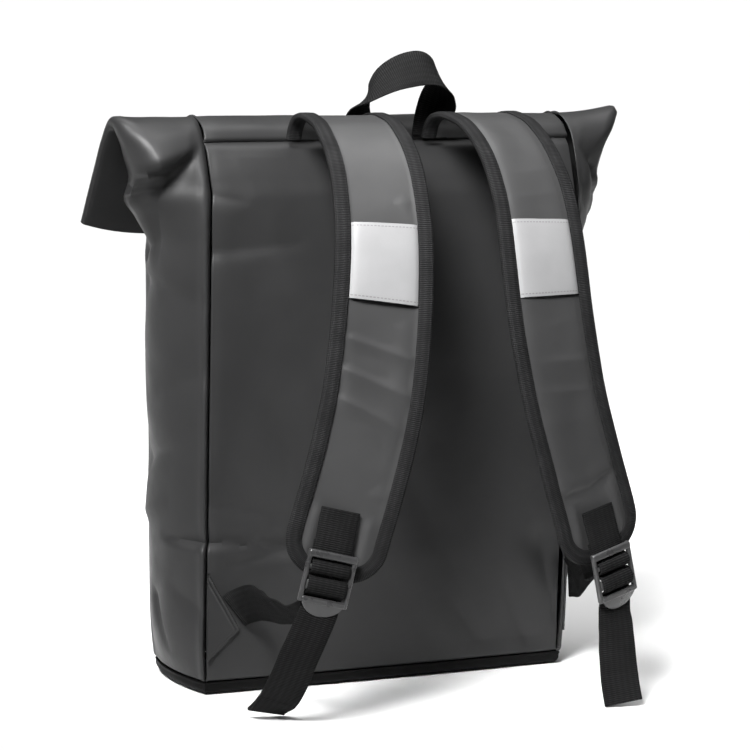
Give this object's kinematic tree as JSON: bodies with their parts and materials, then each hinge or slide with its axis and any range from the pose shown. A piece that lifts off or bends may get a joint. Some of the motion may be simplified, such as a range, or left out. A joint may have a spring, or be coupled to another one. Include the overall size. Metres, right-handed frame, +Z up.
{
  "type": "roll-top laptop backpack",
  "caption": "Roll-top laptop backpack of coated cloth with padded shoulder straps, reflective patches, ladder-lock adjusters and a webbing haul loop.",
  "frame": {"origin": "centre of the flat of the base, on the floor", "axes": "+Z up along the bag, -Y towards the wearer's back with the harness, +X to the right seen from there"},
  "size_m": [0.4253, 0.2635, 0.4771],
  "materials": {
    "coated_cloth": "matte coated cloth",
    "base_cloth": "matte coated cloth",
    "strap_cloth": "satin coated cloth over foam",
    "binding_tape": "ribbed woven tape",
    "webbing": "woven webbing",
    "reflective_film": "satin reflective film",
    "buckle_plastic": "fine moulded grain"
  },
  "bodies": {
    "root": {"back_panel": "coated_cloth", "collar": "coated_cloth", "left_gusset": "coated_cloth", "right_gusset": "coated_cloth", "front_panel": "coated_cloth", "base_panel": "base_cloth", "haul_loop": "webbing", "closure_strap": "webbing", "closure_clasp": "buckle_plastic", "left_shoulder_strap": "strap_cloth", "left_strap_binding": "binding_tape", "left_reflective_patch": "reflective_film", "left_corner_anchor": "coated_cloth", "left_buckle": "buckle_plastic", "left_strap_tab": "webbing", "left_adjuster_webbing": "webbing", "right_shoulder_strap": "strap_cloth", "right_strap_binding": "binding_tape", "right_reflective_patch": "reflective_film", "right_corner_anchor": "coated_cloth", "right_buckle": "buckle_plastic", "right_strap_tab": "webbing", "right_adjuster_webbing": "webbing"}
  },
  "joints": []
}
